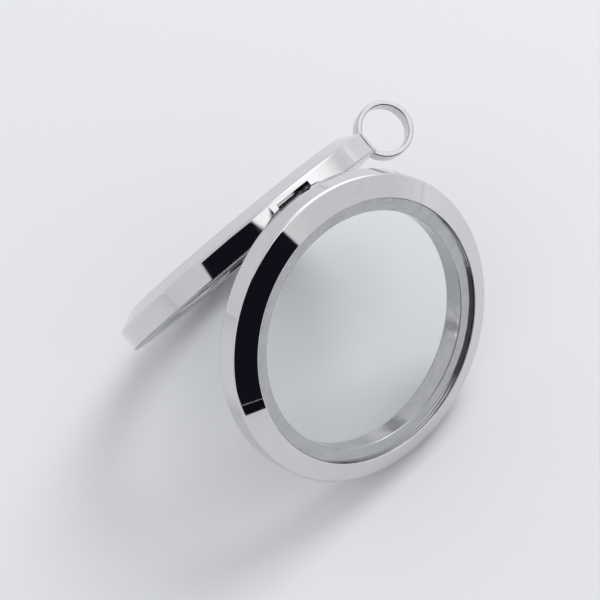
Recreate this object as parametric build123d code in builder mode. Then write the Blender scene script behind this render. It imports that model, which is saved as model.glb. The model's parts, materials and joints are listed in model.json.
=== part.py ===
from build123d import *
from math import atan2, cos, degrees, hypot, radians, sin, sqrt
import os

# A round glass locket, standing open on a flat surface like a tent with its hinge at the top.
# Sizes are in mm and angles in degrees. +Z is up, +X runs along the hinge to the side that has
# the bail ring, and the front half stands towards -Y. The origin is the middle of the footprint.

# Rim of each half, measured from the closing plane, where the two halves meet
rim_radius = 15.0
wall_height = 2.2  # straight outer wall
bevel_rise = 1.0  # from the wall up to the lip
bevel_width = 2.0
lip_width = 0.1  # narrow flat lip round the glass
ledge_width = 1.35  # ring under the glass
closing_gap = 0.06  # left between the rims when the locket is shut
closing_edge_round = 0.15
bevel_edge_round = 0.35
lip_edge_round = 0.06
window_edge_round = 0.12  # at the glass
window_mouth_round = 0.45  # at the closing face

# Glass discs
glass_thickness = 0.6
glass_recess = 0.12  # how far the glass lies below the lip
glass_chamfer = 0.08
seat_gap = 0.03  # round and under a seated piece

# Hinge
hinge_inset = 1.25  # of the hinge axis, in from the outer wall
hinge_height = 0.5  # of the hinge axis, over the back half's closing plane
knuckle_radius = 0.95
slot_length = 4.0  # notch in the back rim that the front's knuckle turns in
slot_offset = 0.35  # of the slot's middle, towards the bail
slot_depth_gap = 0.25  # behind the knuckle
slot_roof_gap = 0.2  # above the knuckle
knuckle_near_play = 0.05  # at the end away from the bail
knuckle_far_play = 1.0  # at the end near the bail, where the pin shows
pin_seat = 0.8  # how far the pin goes into the back rim at each end of the slot
pin_radius = 0.22
pin_running_gap = 0.03
opening_limit = 55.0  # angle at which the front rim's closing face comes to lie along the back rim's facet
facet_gap = 0.03  # left between the two

# Bail ring, soldered to the back rim
bail_inner_radius = 2.32
bail_wall = 0.53
bail_width = 1.7
bail_edge_round = 0.14
bail_joint_height = 1.35  # of the ring's contact with the outer wall
solder_edge = 0.04  # how far the solder shows round the contact
solder_depth = 0.5
solder_gap = 0.02  # from the solder up to the wall's rounded edge
bail_angle = 4.0  # from the middle of the side, towards the hinge

# Closing magnet, opposite the hinge
magnet_radius = 1.0
magnet_thickness = 1.0

# How it stands
opening = 53.6  # angle between the two closing planes
lean = 3.2  # roll towards the heavier side, where the bail is

# Worked-out sizes
rim_height = wall_height + bevel_rise
bevel_inner_radius = rim_radius - bevel_width
seat_radius = bevel_inner_radius - lip_width
window_radius = seat_radius - ledge_width
face_height = closing_gap / 2
seat_height = rim_height - glass_recess - glass_thickness - seat_gap
hinge_distance = rim_radius - hinge_inset
slot_start = slot_offset - slot_length / 2
slot_end = slot_offset + slot_length / 2
knuckle_start = slot_start + knuckle_near_play
knuckle_end = slot_end - knuckle_far_play
pin_start = slot_start - pin_seat
pin_end = slot_end + pin_seat
pin_hole_radius = pin_radius + pin_running_gap
facet_distance = hinge_height + face_height - facet_gap  # of the facet, from the hinge axis
bevel_length = hypot(bevel_rise, bevel_width)
straight_wall_top = wall_height - bevel_edge_round * (bevel_length - bevel_rise) / bevel_width
bail_outer_radius = bail_inner_radius + bail_wall
solder_height = bail_joint_height + 2 * solder_edge
bail_height = straight_wall_top - solder_gap - solder_height / 2  # over the closing plane
bail_distance = rim_radius + sqrt(bail_outer_radius**2 - (bail_joint_height / 2) ** 2)
magnet_distance = (rim_radius + window_radius) / 2

# Both feet touch the floor: the half that carries the hinge axis leans out a little more
level = degrees(atan2(hinge_height, hinge_distance + rim_radius))
front_tilt = radians(opening / 2 - level)
back_tilt = radians(opening / 2 + level)


def leaned(x, y, z):
    """A direction on the level tent, turned by its lean."""
    return Vector(x, y, z).rotate(Axis.Y, lean)


def reach(direction, circle):
    """How far a circle, given by its centre, normal and radius, reaches in a direction."""
    centre, normal, radius = circle
    return centre.dot(direction) + radius * sqrt(1 - normal.dot(direction) ** 2)


along_hinge = leaned(1, 0, 0)
front_up = leaned(0, sin(front_tilt), cos(front_tilt))
front_out = leaned(0, -cos(front_tilt), sin(front_tilt))
back_up = leaned(0, -sin(back_tilt), cos(back_tilt))
back_out = leaned(0, cos(back_tilt), sin(back_tilt))

# Places measured from the middle of the hinge axis
front_centre = front_out * hinge_height - front_up * hinge_distance
back_centre = back_out * -hinge_height - back_up * hinge_distance
bail_spoke = along_hinge * cos(radians(bail_angle)) + back_up * sin(radians(bail_angle))
bail_axis = back_up * cos(radians(bail_angle)) - along_hinge * sin(radians(bail_angle))
bail_centre = back_centre + bail_spoke * bail_distance + back_out * bail_height

# Circles that bound the standing locket, from the hinge
outline = []
for side in (-1, 1):
    outline.append((bail_centre + bail_axis * side * bail_width / 2, bail_axis, bail_outer_radius))
feet = []
for centre, out in ((front_centre, front_out), (back_centre, back_out)):
    outline.append((centre + out * (face_height + closing_edge_round), out, rim_radius))
    outline.append((centre + out * wall_height, out, rim_radius))
    outline.append((centre + out * rim_height, out, bevel_inner_radius))
    feet.append((centre + out * (face_height + closing_edge_round), out, rim_radius - closing_edge_round))


def middle(direction):
    """Where the middle of the locket's footprint lies along a direction, from the hinge."""
    furthest = max(reach(direction, circle) for circle in outline)
    nearest = -max(reach(direction * -1, circle) for circle in outline)
    return (furthest + nearest) / 2


hinge_over_floor = max(reach(Vector(0, 0, -1), foot) for foot in feet) + closing_edge_round
hinge_point = Vector(-middle(Vector(1, 0, 0)), -middle(Vector(0, 1, 0)), hinge_over_floor)

# The closing plane of each half, seen from outside with the hinge at the top
front_face = Plane(origin=hinge_point + front_centre, x_dir=along_hinge, z_dir=front_out)
back_face = Plane(origin=hinge_point + back_centre, x_dir=along_hinge * -1, z_dir=back_out)


def rim_section(face):
    """The plane that a rim's section is drawn in: x out from the centre, y away from the closing plane."""
    return Plane(origin=face.origin, x_dir=face.x_dir, z_dir=face.y_dir * -1)


def hinge_section(face, place):
    """The plane across the hinge at a place along it: x away from the disc, y as on the rim's section."""
    return Plane(
        origin=hinge_point + along_hinge * place,
        x_dir=face.y_dir,
        z_dir=face.y_dir.cross(face.z_dir),
    )


def rim(face):
    """One rim: outer wall, bevel, lip, glass seat and window, turned about the centre of the face."""
    with BuildPart() as turned:
        with BuildSketch(rim_section(face)):
            with BuildLine():
                FilletPolyline(
                    (window_radius, face_height),
                    (rim_radius, face_height),
                    (rim_radius, wall_height),
                    (bevel_inner_radius, rim_height),
                    (seat_radius, rim_height),
                    (seat_radius, seat_height),
                    (window_radius, seat_height),
                    radius=[
                        window_mouth_round,
                        closing_edge_round,
                        bevel_edge_round,
                        lip_edge_round,
                        lip_edge_round,
                        0,
                        window_edge_round,
                    ],
                    close=True,
                )
            make_face()
        revolve(axis=Axis(face.origin, face.z_dir))
    return turned.part


def glass(face):
    """One glass disc, with its clearance round and under it."""
    with BuildPart() as disc:
        with BuildSketch(face.offset(seat_height + seat_gap)):
            Circle(seat_radius - seat_gap)
        extrude(amount=glass_thickness)
        chamfer(disc.edges().filter_by(GeomType.CIRCLE), glass_chamfer)
    return disc.part


os.makedirs("parts", exist_ok=True)

# Front frame: rim, knuckle on its web, pin hole
web_outer_edge = hinge_inset - closing_edge_round
with BuildPart() as front_frame:
    add(rim(front_face))
    with BuildSketch(hinge_section(front_face, knuckle_start)):
        Circle(knuckle_radius)
        with Locations((-knuckle_radius, 0)):
            Rectangle(
                knuckle_radius + web_outer_edge,
                hinge_height + face_height + closing_edge_round,
                align=(Align.MIN, Align.MIN),
            )
    extrude(amount=knuckle_end - knuckle_start, dir=along_hinge)
    with BuildSketch(hinge_section(front_face, knuckle_start)):
        Circle(pin_hole_radius)
    extrude(amount=knuckle_end - knuckle_start, dir=along_hinge, mode=Mode.SUBTRACT)
front_frame.part.label = "front_frame"
export_step(front_frame.part, "parts/front_frame.step")

# Back frame: rim, facets that clear the turning front rim, slot, pin hole, magnet pocket, soldered bail ring
with BuildPart() as back_frame:
    add(rim(back_face))
    with BuildSketch(hinge_section(back_face, 0)):
        for turn in (opening_limit / 2, opening_limit):
            with Locations((facet_distance * sin(radians(turn)), facet_distance * -cos(radians(turn)))):
                Rectangle(2 * rim_height, rim_height, rotation=turn, align=(Align.CENTER, Align.MAX))
    extrude(amount=rim_radius, both=True, mode=Mode.SUBTRACT)
    with BuildSketch(hinge_section(back_face, slot_start)):
        with Locations((-knuckle_radius - slot_depth_gap, -rim_height)):
            Rectangle(
                rim_radius - hinge_distance + 2 * knuckle_radius + slot_depth_gap,
                rim_height + knuckle_radius + slot_roof_gap,
                align=(Align.MIN, Align.MIN),
            )
    extrude(amount=slot_length, dir=along_hinge, mode=Mode.SUBTRACT)
    with BuildSketch(hinge_section(back_face, pin_start)):
        Circle(pin_hole_radius)
    extrude(amount=pin_end - pin_start, dir=along_hinge, mode=Mode.SUBTRACT)
    with BuildSketch(back_face.offset(face_height)):
        with Locations((0, -magnet_distance)):
            Circle(magnet_radius + seat_gap)
    extrude(amount=magnet_thickness + 2 * seat_gap, mode=Mode.SUBTRACT)
    bail_middle = hinge_point + bail_centre
    solder_end = bail_middle - bail_spoke * (bail_distance - rim_radius - solder_edge)
    with BuildSketch(Plane(origin=solder_end, x_dir=bail_axis, z_dir=bail_spoke * -1)):
        Rectangle(bail_width + 2 * solder_edge, solder_height)
    extrude(amount=solder_edge + solder_depth)
    with BuildSketch(Plane(origin=bail_middle, x_dir=bail_spoke, z_dir=bail_spoke.cross(bail_axis))):
        with Locations((bail_inner_radius + bail_wall / 2, 0)):
            RectangleRounded(bail_wall, bail_width, bail_edge_round)
    revolve(axis=Axis(bail_middle, bail_axis))
back_frame.part.label = "back_frame"
export_step(back_frame.part, "parts/back_frame.step")

front_glass = glass(front_face)
front_glass.label = "front_glass"
export_step(front_glass, "parts/front_glass.step")

back_glass = glass(back_face)
back_glass.label = "back_glass"
export_step(back_glass, "parts/back_glass.step")

with BuildPart() as hinge_pin:
    with BuildSketch(hinge_section(back_face, pin_start + seat_gap)):
        Circle(pin_radius)
    extrude(amount=pin_end - pin_start - 2 * seat_gap, dir=along_hinge)
hinge_pin.part.label = "hinge_pin"
export_step(hinge_pin.part, "parts/hinge_pin.step")

with BuildPart() as closing_magnet:
    with BuildSketch(back_face.offset(face_height + seat_gap)):
        with Locations((0, -magnet_distance)):
            Circle(magnet_radius)
    extrude(amount=magnet_thickness)
closing_magnet.part.label = "closing_magnet"
export_step(closing_magnet.part, "parts/closing_magnet.step")

print("hinge point", hinge_point, "axis", along_hinge)
print("bail middle", hinge_point + bail_centre, "axis", bail_axis)
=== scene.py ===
import json
import math

import bmesh
import bpy
from mathutils import Matrix, Vector


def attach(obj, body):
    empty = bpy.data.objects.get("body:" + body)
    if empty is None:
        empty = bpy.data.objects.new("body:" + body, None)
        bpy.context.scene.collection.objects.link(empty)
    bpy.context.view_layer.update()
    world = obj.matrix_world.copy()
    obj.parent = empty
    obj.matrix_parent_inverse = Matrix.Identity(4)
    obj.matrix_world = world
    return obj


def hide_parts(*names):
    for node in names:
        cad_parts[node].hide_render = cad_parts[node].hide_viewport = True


# A round glass locket of polished steel, standing open like a tent with its hinge at the top.
# Pieces are modelled lying flat, in millimetres, and then put in place in metres.
mm = 0.001
near = 0.001  # millimetres, for finding corners by their place
smoothAngle = 30  # degrees; sharper edges stay sharp
roundProfile = 0.5  # of a bevel that follows a circle

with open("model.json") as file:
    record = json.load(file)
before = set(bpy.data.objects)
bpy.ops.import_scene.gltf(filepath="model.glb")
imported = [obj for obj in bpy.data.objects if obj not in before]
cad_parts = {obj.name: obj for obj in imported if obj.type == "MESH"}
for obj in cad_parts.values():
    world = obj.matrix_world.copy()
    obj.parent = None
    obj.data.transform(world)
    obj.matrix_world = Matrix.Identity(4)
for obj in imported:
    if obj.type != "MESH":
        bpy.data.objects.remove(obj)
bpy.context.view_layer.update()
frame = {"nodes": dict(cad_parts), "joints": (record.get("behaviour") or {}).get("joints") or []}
print("frame loaded:", ", ".join(sorted(frame["nodes"])))


def selectOnly(piece):
    bpy.ops.object.select_all(action="DESELECT")
    piece.select_set(True)
    bpy.context.view_layer.objects.active = piece


def startEditing(piece):
    selectOnly(piece)
    bpy.ops.object.mode_set(mode="EDIT")
    bpy.ops.mesh.select_mode(type="EDGE")
    bpy.ops.mesh.select_all(action="DESELECT")


def stopEditing():
    bpy.ops.object.mode_set(mode="OBJECT")


def selectCircle(piece, radius, height):
    shape = bmesh.from_edit_mesh(piece.data)
    for edge in shape.edges:
        if all(
            abs(math.hypot(point.co.x, point.co.y) - radius) < near and abs(point.co.z - height) < near
            for point in edge.verts
        ):
            edge.select_set(True)
    bmesh.update_edit_mesh(piece.data)


def roundEdges(setBack, steps):
    bpy.ops.mesh.bevel(
        offset_type="OFFSET", offset=setBack, segments=steps, profile=roundProfile, affect="EDGES"
    )


def turnedRing(name, corners, segments, roundSteps):
    # corners go once round the section, each as (radius, height, how far it is rounded)
    bpy.ops.object.select_all(action="DESELECT")
    bpy.ops.mesh.primitive_circle_add(vertices=segments, radius=corners[0][0], fill_type="NOTHING")
    ring = bpy.context.object
    ring.name = name
    startEditing(ring)
    bpy.ops.mesh.select_all(action="SELECT")
    bpy.ops.transform.translate(value=(0, 0, corners[0][1]))
    for (radius, height, _), (nextRadius, nextHeight, _) in zip(corners, corners[1:]):
        bpy.ops.mesh.extrude_edges_move()
        grow = nextRadius / radius
        bpy.ops.transform.resize(value=(grow, grow, 1), center_override=(0, 0, height))
        bpy.ops.transform.translate(value=(0, 0, nextHeight - height))
    selectCircle(ring, corners[0][0], corners[0][1])
    bpy.ops.mesh.bridge_edge_loops()
    bpy.ops.mesh.select_all(action="SELECT")
    bpy.ops.mesh.normals_make_consistent(inside=False)
    for number, (radius, height, rounding) in enumerate(corners):
        if rounding == 0:
            continue
        before = corners[number - 1]
        after = corners[(number + 1) % len(corners)]
        arriving = Vector((radius - before[0], height - before[1]))
        leaving = Vector((after[0] - radius, after[1] - height))
        setBack = rounding * math.tan(arriving.angle(leaving) / 2)
        bpy.ops.mesh.select_all(action="DESELECT")
        selectCircle(ring, radius, height)
        roundEdges(setBack, roundSteps)
    stopEditing()
    return ring


def combine(piece, tool, operation):
    selectOnly(piece)
    bpy.ops.object.modifier_add(type="BOOLEAN")
    step = piece.modifiers[-1]
    step.operation = operation
    step.solver = "EXACT"
    step.object = tool
    bpy.ops.object.modifier_apply(modifier=step.name)
    bpy.data.objects.remove(tool)


def smoothShading(piece):
    selectOnly(piece)
    bpy.ops.object.shade_smooth_by_angle(angle=math.radians(smoothAngle))
    bpy.ops.object.modifier_add(type="WEIGHTED_NORMAL")
    step = piece.modifiers[-1]
    step.keep_sharp = True
    bpy.ops.object.modifier_apply(modifier=step.name)


def putInPlace(piece, place):
    selectOnly(piece)
    piece.matrix_world = place @ Matrix.Scale(mm, 4) @ piece.matrix_world
    bpy.ops.object.transform_apply(location=True, rotation=True, scale=True)


# One rim: the section of both halves, measured from the disc's centre and from the closing plane
rimShape = {
    "outerRadius": 15.0,
    "bevelInner": 13.0,
    "seatRadius": 12.9,
    "windowRadius": 11.55,
    "closingFace": 0.03,
    "seatHeight": 2.45,
    "wallTop": 2.2,
    "lipTop": 3.2,
    "closingRound": 0.15,
    "wallRound": 0.35,
    "lipRound": 0.06,
    "windowRound": 0.12,
    "mouthRound": 0.45,  # of the window at the closing face
    "segments": 288,
    "roundSteps": 6,
}


def rim(name):
    s = rimShape
    corners = (
        (s["windowRadius"], s["closingFace"], s["mouthRound"]),
        (s["outerRadius"], s["closingFace"], s["closingRound"]),
        (s["outerRadius"], s["wallTop"], s["wallRound"]),
        (s["bevelInner"], s["lipTop"], s["lipRound"]),
        (s["seatRadius"], s["lipTop"], s["lipRound"]),
        (s["seatRadius"], s["seatHeight"], 0),
        (s["windowRadius"], s["seatHeight"], s["windowRound"]),
    )
    return turnedRing(name, corners, s["segments"], s["roundSteps"])


# The hinge: spans run along the pin towards the ring, from the middle of the hinge, and reaches run
# outwards from the pin
hingeShape = {
    "inset": 1.25,  # of the pin, in from the outer wall
    "height": 0.5,  # of the pin, over the back half's closing plane
    "knuckleRadius": 0.95,
    "knuckleSpan": (-1.6, 1.35),
    "knuckleRound": 0.06,
    "knuckleRoundSteps": 3,
    "webReach": (-0.95, 1.1),
    "webTop": 0.68,
    "slotSpan": (-1.65, 2.35),
    "slotReach": (-1.2, 2.2),
    "slotRoof": 1.15,  # over the pin
    "holeRadius": 0.25,
    "holeSpan": (-2.45, 3.15),
    "facetDistance": 0.5,  # of the facets that clear the turning front rim, from the pin
    "facetTurns": (27.5, 55),
    "barSides": 96,
}
hingeDistance = rimShape["outerRadius"] - hingeShape["inset"]

# Local x runs towards the ring in the front half and away from it in the back half
frontTowardsRing = 1
backTowardsRing = -1


def hingeBar(span, radius, towardsRing, height):
    start, end = span
    bpy.ops.mesh.primitive_cylinder_add(
        vertices=hingeShape["barSides"],
        radius=radius,
        depth=end - start,
        location=(towardsRing * (start + end) / 2, hingeDistance, height),
        rotation=(0, math.pi / 2, 0),
    )
    return bpy.context.object


def hingeBlock(span, reach, towardsRing, bottom, top):
    start, end = span
    bpy.ops.mesh.primitive_cube_add(
        size=1,
        location=(
            towardsRing * (start + end) / 2,
            hingeDistance + (reach[0] + reach[1]) / 2,
            (bottom + top) / 2,
        ),
        scale=(end - start, reach[1] - reach[0], top - bottom),
    )
    return bpy.context.object


def frontFrame():
    h = hingeShape
    pinHeight = -h["height"]
    piece = rim("frontFrame")
    knuckle = hingeBar(h["knuckleSpan"], h["knuckleRadius"], frontTowardsRing, pinHeight)
    startEditing(knuckle)
    shape = bmesh.from_edit_mesh(knuckle.data)
    for edge in shape.edges:
        if any(len(face.verts) > 4 for face in edge.link_faces):  # only the two ends have more corners
            edge.select_set(True)
    roundEdges(h["knuckleRound"], h["knuckleRoundSteps"])
    stopEditing()
    web = hingeBlock(h["knuckleSpan"], h["webReach"], frontTowardsRing, pinHeight, pinHeight + h["webTop"])
    combine(piece, web, "UNION")
    combine(piece, knuckle, "UNION")
    combine(piece, hingeBar(h["knuckleSpan"], h["holeRadius"], frontTowardsRing, pinHeight), "DIFFERENCE")
    return piece


# The ring for the chain, soldered to the side of the back rim
ringShape = {
    "outerRadius": 2.85,
    "innerRadius": 2.32,
    "width": 1.7,
    "rounding": 0.14,
    "jointHeight": 1.35,  # over which it touches the wall
    "height": 1.249,  # of its middle, over the closing plane
    "angle": 4.0,  # from the middle of the side, towards the hinge
    "segments": 144,
    "roundSteps": 4,
    "solderEdge": 0.04,  # how far the solder stands proud
    "solderDepth": 0.5,  # how far it goes into the wall
}
magnetPocket = {"radius": 1.03, "distance": 13.2, "depth": 1.06, "sides": 64}


def besideRim(distance):
    # a point over the rim's side, where local x runs away from the ring
    s = ringShape
    angle = math.radians(s["angle"])
    return (-distance * math.cos(angle), distance * math.sin(angle), s["height"])


def chainRing():
    s = ringShape
    half = s["width"] / 2
    corners = (
        (s["innerRadius"], -half, s["rounding"]),
        (s["outerRadius"], -half, s["rounding"]),
        (s["outerRadius"], half, s["rounding"]),
        (s["innerRadius"], half, s["rounding"]),
    )
    ring = turnedRing("chainRing", corners, s["segments"], s["roundSteps"])
    distance = rimShape["outerRadius"] + math.sqrt(s["outerRadius"] ** 2 - s["jointHeight"] ** 2 / 4)
    ring.rotation_euler = (-math.pi / 2, 0, -math.radians(s["angle"]))
    ring.location = besideRim(distance)
    return ring


def solderSeam():
    s = ringShape
    depth = s["solderEdge"] + s["solderDepth"]
    bpy.ops.mesh.primitive_cube_add(
        size=1,
        location=besideRim(rimShape["outerRadius"] + s["solderEdge"] - depth / 2),
        rotation=(0, 0, -math.radians(s["angle"])),
        scale=(depth, s["width"] + 2 * s["solderEdge"], s["jointHeight"] + 2 * s["solderEdge"]),
    )
    return bpy.context.object


def facetCutter(turn):
    h = hingeShape
    size = rimShape["lipTop"]
    away = h["facetDistance"] + size / 2
    angle = math.radians(turn)
    bpy.ops.mesh.primitive_cube_add(
        size=1,
        location=(0, hingeDistance + away * math.sin(angle), h["height"] - away * math.cos(angle)),
        rotation=(angle, 0, 0),
        scale=(2 * rimShape["outerRadius"], 2 * size, size),
    )
    return bpy.context.object


def backFrame():
    h = hingeShape
    pinHeight = h["height"]
    piece = rim("backFrame")
    for turn in h["facetTurns"]:
        combine(piece, facetCutter(turn), "DIFFERENCE")
    slotBottom = pinHeight - rimShape["lipTop"]
    slotTop = pinHeight + h["slotRoof"]
    slot = hingeBlock(h["slotSpan"], h["slotReach"], backTowardsRing, slotBottom, slotTop)
    combine(piece, slot, "DIFFERENCE")
    combine(piece, hingeBar(h["holeSpan"], h["holeRadius"], backTowardsRing, pinHeight), "DIFFERENCE")
    m = magnetPocket
    bpy.ops.mesh.primitive_cylinder_add(
        vertices=m["sides"],
        radius=m["radius"],
        depth=2 * m["depth"],  # half of it stands out of the closing face
        location=(0, -m["distance"], rimShape["closingFace"]),
    )
    combine(piece, bpy.context.object, "DIFFERENCE")
    combine(piece, solderSeam(), "UNION")
    combine(piece, chainRing(), "UNION")
    return piece


# The finish of each face. The polishing wheel doesn't reach the glass seat, the window, the closing
# face and the hinge slot, which are rougher and coloured darker as painted shade in these gaps and
# recesses, and the chain ring is duller than the rim.
finishNumber = {"unpolishedShaded": 1, "ring": 2}


def markFinishes(piece, towardsRing):
    s = rimShape
    h = hingeShape
    start, end = h["slotSpan"]
    slotFoot = hingeDistance + h["slotReach"][0]
    slotTop = h["height"] + h["slotRoof"]
    for face in piece.data.polygons:
        x, y, z = face.center
        radius = math.hypot(x, y)
        insideWall = radius < s["outerRadius"] - near
        insideLip = radius < s["seatRadius"] + near and z < s["lipTop"] - s["lipRound"]
        closing = insideWall and z < s["closingFace"] + s["closingRound"]
        alongSlot = start - near < towardsRing * x < end + near and y > slotFoot - near
        inSlot = insideWall and alongSlot and -h["knuckleRadius"] < z < slotTop + near
        if insideLip or closing or inSlot:
            # rougher finish, with a darker colour that is painted shade in the gaps
            face.material_index = finishNumber["unpolishedShaded"]
        if radius > s["outerRadius"] + near and abs(y) < s["outerRadius"] / 2:
            face.material_index = finishNumber["ring"]


# One glass disc, seated inside the lip
glassShape = {
    "radius": 12.87,
    "bottom": 2.48,
    "top": 3.08,
    "edge": 0.08,
    "edgeSteps": 2,
    "sides": 256,
}


def glassDisc(name):
    s = glassShape
    bpy.ops.object.select_all(action="DESELECT")
    bpy.ops.mesh.primitive_cylinder_add(
        vertices=s["sides"],
        radius=s["radius"],
        depth=s["top"] - s["bottom"],
        location=(0, 0, (s["top"] + s["bottom"]) / 2),
    )
    piece = bpy.context.object
    piece.name = name
    startEditing(piece)
    half = (s["top"] - s["bottom"]) / 2
    selectCircle(piece, s["radius"], half)
    selectCircle(piece, s["radius"], -half)
    roundEdges(s["edge"], s["edgeSteps"])
    stopEditing()
    return piece


# How the halves stand, read from the frame's hinge: x along the hinge, y up to it and z outwards
hinge = frame["joints"][0]
hingePoint = Vector(hinge["pos_m"])
alongHinge = -Vector(hinge["axis"]).normalized()
lean = Matrix.Rotation(math.atan2(-alongHinge.z, alongHinge.x), 3, "Y")
opening = math.radians(-hinge["range_deg"][0])  # the closed pose is the lower limit
level = math.atan2(hingeShape["height"], hingeDistance + rimShape["outerRadius"])

# Along y
towardsFront = -1
towardsBack = 1


def halfPlace(sideways, tilt, xAxis, towardsPin):
    outwards = lean @ Vector((0, sideways * math.cos(tilt), math.sin(tilt)))
    upwards = outwards.cross(xAxis)
    place = Matrix((xAxis, upwards, outwards)).transposed().to_4x4()
    place.translation = hingePoint - (outwards * towardsPin + upwards * hingeDistance) * mm
    return place


frontPlace = halfPlace(towardsFront, opening / 2 - level, alongHinge, -hingeShape["height"])
backPlace = halfPlace(towardsBack, opening / 2 + level, -alongHinge, hingeShape["height"])

frontRim = frontFrame()
markFinishes(frontRim, frontTowardsRing)
backRim = backFrame()
markFinishes(backRim, backTowardsRing)
frontDisc = glassDisc("frontGlass")
backDisc = glassDisc("backGlass")
for piece, place in (
    (frontRim, frontPlace),
    (backRim, backPlace),
    (frontDisc, frontPlace),
    (backDisc, backPlace),
):
    smoothShading(piece)  # still in millimetres, because in metres the faces are too small for it
    putInPlace(piece, place)
print("rims and glass modelled")


# Finishes
def newFinish(name):
    finish = bpy.data.materials.new(name)
    finish.use_nodes = True
    nodes = finish.node_tree.nodes
    return finish, nodes, finish.node_tree.links, nodes["Principled BSDF"]


def wavesGroup():
    # the faint unevenness that polishing leaves: puts out a height for a Bump node
    group = bpy.data.node_groups.new("polishWaves", "ShaderNodeTree")
    group.interface.new_socket("Scale", in_out="INPUT", socket_type="NodeSocketFloat")
    group.interface.new_socket("Detail", in_out="INPUT", socket_type="NodeSocketFloat")
    group.interface.new_socket("Height", in_out="OUTPUT", socket_type="NodeSocketFloat")
    nodes = group.nodes
    links = group.links
    start = nodes.new("NodeGroupInput")
    end = nodes.new("NodeGroupOutput")
    place = nodes.new("ShaderNodeTexCoord")
    noise = nodes.new("ShaderNodeTexNoise")
    links.new(place.outputs["Object"], noise.inputs["Vector"])
    links.new(start.outputs["Scale"], noise.inputs["Scale"])
    links.new(start.outputs["Detail"], noise.inputs["Detail"])
    links.new(noise.outputs["Fac"], end.inputs["Height"])
    return group


wearLook = {
    "detail": 4,
    "edge": (0.45, 0.75),
    "evenly": (1, 1, 1),
    "asHairlines": (1, 1, 3),
}


def wearGroup():
    # hairlines and dulled spots: puts out a mask from 0, clean, to 1
    group = bpy.data.node_groups.new("hairlineWear", "ShaderNodeTree")
    group.interface.new_socket("Scale", in_out="INPUT", socket_type="NodeSocketFloat")
    group.interface.new_socket("Stretch", in_out="INPUT", socket_type="NodeSocketVector")
    group.interface.new_socket("Mask", in_out="OUTPUT", socket_type="NodeSocketFloat")
    nodes = group.nodes
    links = group.links
    start = nodes.new("NodeGroupInput")
    end = nodes.new("NodeGroupOutput")
    place = nodes.new("ShaderNodeTexCoord")
    stretch = nodes.new("ShaderNodeVectorMath")
    stretch.operation = "MULTIPLY"
    noise = nodes.new("ShaderNodeTexNoise")
    noise.inputs["Detail"].default_value = wearLook["detail"]
    edge = nodes.new("ShaderNodeMapRange")
    edge.inputs["From Min"].default_value, edge.inputs["From Max"].default_value = wearLook["edge"]
    links.new(place.outputs["Object"], stretch.inputs[0])
    links.new(start.outputs["Stretch"], stretch.inputs[1])
    links.new(stretch.outputs["Vector"], noise.inputs["Vector"])
    links.new(start.outputs["Scale"], noise.inputs["Scale"])
    links.new(noise.outputs["Fac"], edge.inputs["Value"])
    links.new(edge.outputs["Result"], end.inputs["Mask"])
    return group


waves = wavesGroup()
wear = wearGroup()


def addGroup(nodes, group, **values):
    node = nodes.new("ShaderNodeGroup")
    node.node_tree = group
    for name, value in values.items():
        node.inputs[name].default_value = value
    return node


def dullWhereWorn(nodes, links, shader, mask, roughness):
    gloss = nodes.new("ShaderNodeMapRange")
    gloss.inputs["To Min"].default_value, gloss.inputs["To Max"].default_value = roughness
    links.new(mask.outputs["Mask"], gloss.inputs["Value"])
    links.new(gloss.outputs["Result"], shader.inputs["Roughness"])


# Roughness runs from clean to worn, and a greater scale makes finer marks
steelLook = {
    "colour": (0.7, 0.697, 0.711, 1),
    "wornColour": (0.67, 0.667, 0.681, 1),
    "roughness": (0.025, 0.05),
    "wearScale": 700,
    "waveScale": 150,
    "waveDetail": 1,
    "waveBump": 0.004,
}
ringLook = {
    "colour": (0.6, 0.6, 0.615, 1),
    "wornColour": (0.54, 0.54, 0.555, 1),
    "roughness": (0.1, 0.18),
    "wearScale": 700,
    "waveScale": 400,
    "waveDetail": 1,
    "waveBump": 0.01,
}
# rougher steel whose darker colour is painted shade in the seat, window, closing face and hinge slot
unpolishedShadedLook = {
    "colour": (0.5, 0.5, 0.51, 1),
    "wornColour": (0.43, 0.43, 0.44, 1),
    "roughness": (0.12, 0.24),
    "wearScale": 700,
    "waveScale": 900,
    "waveDetail": 1,
    "waveBump": 0.02,
}


def steelFinish(name, look):
    finish, nodes, links, shader = newFinish(name)
    shader.inputs["Metallic"].default_value = 1
    mask = addGroup(nodes, wear, Scale=look["wearScale"], Stretch=wearLook["asHairlines"])
    colour = nodes.new("ShaderNodeMix")
    colour.data_type = "RGBA"
    colour.inputs["A"].default_value = look["colour"]
    colour.inputs["B"].default_value = look["wornColour"]
    links.new(mask.outputs["Mask"], colour.inputs["Factor"])
    links.new(colour.outputs["Result"], shader.inputs["Base Color"])
    dullWhereWorn(nodes, links, shader, mask, look["roughness"])
    height = addGroup(nodes, waves, Scale=look["waveScale"], Detail=look["waveDetail"])
    bump = nodes.new("ShaderNodeBump")
    bump.inputs["Strength"].default_value = look["waveBump"]
    bump.inputs["Distance"].default_value = mm
    links.new(height.outputs["Height"], bump.inputs["Height"])
    links.new(bump.outputs["Normal"], shader.inputs["Normal"])
    return finish


glassLook = {
    "colour": (0.97, 0.98, 0.99, 1),
    "roughness": (0.0, 0.01),
    "wearScale": 220,
    "ior": 1.5,
    "lampColour": (0.86, 0.87, 0.885, 1),  # what gets through to the surface below
}


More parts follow.
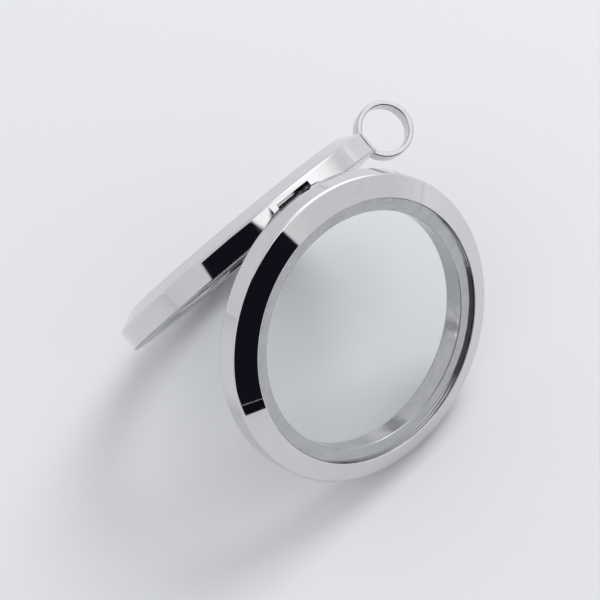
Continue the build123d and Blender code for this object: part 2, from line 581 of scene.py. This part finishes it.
def clearGlass():
    s = glassLook
    finish, nodes, links, shader = newFinish("clearGlass")
    shader.inputs["Base Color"].default_value = s["colour"]
    shader.inputs["Metallic"].default_value = 0
    shader.inputs["Transmission Weight"].default_value = 1
    shader.inputs["IOR"].default_value = s["ior"]
    mask = addGroup(nodes, wear, Scale=s["wearScale"], Stretch=wearLook["evenly"])
    dullWhereWorn(nodes, links, shader, mask, s["roughness"])
    through = nodes.new("ShaderNodeBsdfTransparent")
    through.inputs["Color"].default_value = s["lampColour"]
    path = nodes.new("ShaderNodeLightPath")
    soft = nodes.new("ShaderNodeMath")
    soft.operation = "MAXIMUM"
    links.new(path.outputs["Is Shadow Ray"], soft.inputs[0])
    links.new(path.outputs["Is Diffuse Ray"], soft.inputs[1])
    both = nodes.new("ShaderNodeMixShader")
    links.new(soft.outputs["Value"], both.inputs["Fac"])
    links.new(shader.outputs["BSDF"], both.inputs[1])
    links.new(through.outputs["BSDF"], both.inputs[2])
    links.new(both.outputs["Shader"], nodes["Material Output"].inputs["Surface"])
    return finish


nickelLook = {"colour": (0.66, 0.63, 0.58, 1), "roughness": (0.15, 0.35), "wearScale": 1500}


def platedNickel():
    s = nickelLook
    finish, nodes, links, shader = newFinish("platedNickel")
    shader.inputs["Metallic"].default_value = 1
    shader.inputs["Base Color"].default_value = s["colour"]
    mask = addGroup(nodes, wear, Scale=s["wearScale"], Stretch=wearLook["evenly"])
    dullWhereWorn(nodes, links, shader, mask, s["roughness"])
    return finish


def finishWith(piece, *finishes):
    for finish in finishes:
        piece.data.materials.append(finish)


steel = steelFinish("polishedSteel", steelLook)
unpolishedShaded = steelFinish("unpolishedShadedSteel", unpolishedShadedLook)
ringSteel = steelFinish("ringSteel", ringLook)
glass = clearGlass()
nickel = platedNickel()
for piece, body, node, slotName, finishes in (
    (frontRim, "front", "front_frame", "steel", (steel, unpolishedShaded)),
    (backRim, "back", "back_frame", "steel", (steel, unpolishedShaded, ringSteel)),
    (frontDisc, "front", "front_glass", "glass", (glass,)),
    (backDisc, "back", "back_glass", "glass", (glass,)),
):
    finishWith(piece, *finishes)
    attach(piece, body)
    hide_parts(node)
for node, finish in (("hinge_pin", steel), ("closing_magnet", nickel)):
    frame["nodes"][node].material_slots[0].material = finish
print("finishes made")


# Pale floor under soft studio light. Lengths are in metres, and azimuths in degrees from -Y towards +X.
floorLook = {"size": 1.2, "colour": (0.87, 0.877, 0.893, 1), "roughness": 0.8, "specular": 0.1}
keyLook = {
    "azimuth": 103,
    "elevation": 48,
    "distance": 0.6,
    "size": 0.3,
    "energy": 1.28,
    "colour": (1.0, 0.99, 0.975),
}


def direction(azimuth, elevation):
    turn = math.radians(azimuth)
    rise = math.radians(elevation)
    return Vector((math.sin(turn) * math.cos(rise), -math.cos(turn) * math.cos(rise), math.sin(rise)))


def matteFinish(name, look):
    finish, _, _, shader = newFinish(name)
    shader.inputs["Base Color"].default_value = look["colour"]
    shader.inputs["Roughness"].default_value = look["roughness"]
    shader.inputs["Specular IOR Level"].default_value = look["specular"]
    return finish


def paleFloor():
    bpy.ops.object.select_all(action="DESELECT")
    bpy.ops.mesh.primitive_plane_add(size=floorLook["size"], location=(0, 0, 0))
    floor = bpy.context.object
    floor.name = "floor"
    finishWith(floor, matteFinish("palePaper", floorLook))


def keyLight():
    s = keyLook
    towardsLight = direction(s["azimuth"], s["elevation"])
    bpy.ops.object.light_add(
        type="AREA",
        location=towardsLight * s["distance"],
        rotation=towardsLight.to_track_quat("Z", "Y").to_euler(),
    )
    light = bpy.context.object
    light.name = "keyLight"
    light.data.shape = "DISK"
    light.data.size = s["size"]
    light.data.energy = s["energy"]
    light.data.color = s["colour"]
    light.visible_glossy = False


paleFloor()
keyLight()

# The white light tent round the table, with the dark mouth that the camera looks in through,
# which shows only in the polished steel. Heights are in degrees from the table up.
tentLook = {
    "plain": (0.668, 0.673, 0.688),
    "table": (0.74, 0.745, 0.76),  # below the horizon, where the floor ends
    "litTable": (0.86, 0.865, 0.88),
    "litEdge": (-0.4, 0.7),
    "horizon": (-4, 12),
    "side": (0.76, 0.76, 0.775),
    "glow": (1.55, 1.55, 1.56),  # where the lamp stands behind the cloth
    "glowEdge": (0.72, 0.97),  # cosine of the angle from the lamp
    "roof": (0.59, 0.59, 0.602),
    "roofEdge": (60, 80),
    "roofLight": (1.25, 1.25, 1.25),
    "roofLightSpot": (30, 66),
    "roofLightEdge": (0.89, 0.965),
    "mouth": (0.008, 0.007, 0.012),
    "mouthLeft": (-77, -75.5),
    "mouthRight": (17, 18.5),
    "mouthTop": (63.3, 64.1),
    "strength": 1.0,
}


def lightTent():
    s = tentLook
    world = bpy.data.worlds.new("lightTent")
    bpy.context.scene.world = world
    world.use_nodes = True
    world.cycles.sampling_method = "NONE"
    nodes = world.node_tree.nodes
    links = world.node_tree.links
    place = nodes.new("ShaderNodeTexCoord")
    split = nodes.new("ShaderNodeSeparateXYZ")
    links.new(place.outputs["Generated"], split.inputs["Vector"])

    def maths(operation, first, second=None):
        node = nodes.new("ShaderNodeMath")
        node.operation = operation
        for socket, value in zip(node.inputs, (first, second)):
            if value is None:
                continue
            if isinstance(value, (int, float)):
                socket.default_value = value
            else:
                links.new(value, socket)
        return node.outputs["Value"]

    def ramp(value, span):
        node = nodes.new("ShaderNodeMapRange")
        node.interpolation_type = "SMOOTHSTEP"
        node.inputs["From Min"].default_value, node.inputs["From Max"].default_value = span
        links.new(value, node.inputs["Value"])
        return node.outputs["Result"]

    def mix(factor, first, second):
        node = nodes.new("ShaderNodeMix")
        node.data_type = "RGBA"
        links.new(factor, node.inputs["Factor"])
        for socket, value in ((node.inputs["A"], first), (node.inputs["B"], second)):
            if isinstance(value, tuple):
                socket.default_value = (*value, 1)
            else:
                links.new(value, socket)
        return node.outputs["Result"]

    def nearness(azimuthOfSpot, elevationOfSpot):
        node = nodes.new("ShaderNodeVectorMath")
        node.operation = "DOT_PRODUCT"
        node.inputs[1].default_value = direction(azimuthOfSpot, elevationOfSpot)
        links.new(place.outputs["Generated"], node.inputs[0])
        return node.outputs["Value"]

    height = maths("DEGREES", maths("ARCSINE", split.outputs["Z"]))
    forwards = maths("MULTIPLY", split.outputs["Y"], -1.0)
    azimuth = maths("DEGREES", maths("ARCTAN2", split.outputs["X"], forwards))
    towardsLamp = nearness(keyLook["azimuth"], keyLook["elevation"])
    white = mix(ramp(towardsLamp, s["glowEdge"]), s["side"], s["glow"])
    white = mix(ramp(height, s["roofEdge"]), white, s["roof"])
    white = mix(ramp(nearness(*s["roofLightSpot"]), s["roofLightEdge"]), white, s["roofLight"])
    table = mix(ramp(towardsLamp, s["litEdge"]), s["table"], s["litTable"])
    white = mix(ramp(height, s["horizon"]), table, white)
    beforeRight = maths("SUBTRACT", 1.0, ramp(azimuth, s["mouthRight"]))
    belowTop = maths("SUBTRACT", 1.0, ramp(height, s["mouthTop"]))
    mouth = maths("MULTIPLY", ramp(azimuth, s["mouthLeft"]), beforeRight)
    mouth = maths("MULTIPLY", mouth, belowTop)
    path = nodes.new("ShaderNodeLightPath")
    background = nodes["Background"]
    background.inputs["Strength"].default_value = s["strength"]
    seen = mix(path.outputs["Is Glossy Ray"], s["plain"], mix(mouth, white, s["mouth"]))
    links.new(seen, background.inputs["Color"])


# A dark sheet on the table in the mouth, a painted dark reflection that shows only in the polished steel
# too
reflectionSheetLook = {
    "start": 0.17,  # how far off it begins
    "facing": -24,  # azimuth that its two ends are square to
    "height": 0.0001,
    "colour": (*tentLook["mouth"], 1),
    "roughness": 1,
    "specular": 0,
}


def mouthReflectionSheet():
    s = reflectionSheetLook
    bpy.ops.object.select_all(action="DESELECT")
    bpy.ops.mesh.primitive_plane_add(size=1)
    reflectionSheet = bpy.context.object
    reflectionSheet.name = "mouthReflectionSheet"
    corners = [
        (reach, sum(side) / 2)
        for reach in (s["start"], floorLook["size"] / 2)
        for side in (tentLook["mouthLeft"], tentLook["mouthRight"])
    ]
    for point, (reach, azimuth) in zip(reflectionSheet.data.vertices, corners):
        slant = math.cos(math.radians(azimuth - s["facing"]))
        point.co = direction(azimuth, 0) * reach / slant + Vector((0, 0, s["height"]))
    finishWith(reflectionSheet, matteFinish("darkReflectionSheet", s))
    # hidden from all but glossy rays: it only paints a dark reflection in the steel
    reflectionSheet.visible_camera = False
    reflectionSheet.visible_diffuse = False
    reflectionSheet.visible_transmission = False
    reflectionSheet.visible_shadow = False


lightTent()
mouthReflectionSheet()

# The camera of the photograph: a long lens that looks down on the front half, rolled a little
cameraLook = {
    "target": (-4.87265, -5.21401, -4.71145),  # from the hinge, in millimetres
    "distance": 388.663,  # millimetres
    "azimuth": -36.841,
    "elevation": 56.412,
    "roll": -9.142,
    "lens": 252.128,
    "nearClip": 10,  # millimetres
}


def photoCamera():
    s = cameraLook
    azimuth = math.radians(s["azimuth"])
    elevation = math.radians(s["elevation"])
    turn = (
        Matrix.Rotation(azimuth, 4, "Z")
        @ Matrix.Rotation(math.pi / 2 - elevation, 4, "X")
        @ Matrix.Rotation(math.radians(s["roll"]), 4, "Z")
    )
    target = hingePoint + Vector(s["target"]) * mm
    spot = target + (turn @ Vector((0, 0, s["distance"] * mm)))
    bpy.ops.object.camera_add(location=spot, rotation=turn.to_euler())
    camera = bpy.context.object
    camera.data.lens = s["lens"]
    camera.data.clip_start = s["nearClip"] * mm
    bpy.context.scene.camera = camera


photoCamera()
bpy.context.scene.view_settings.view_transform = "Standard"
print("stage, light and camera ready")
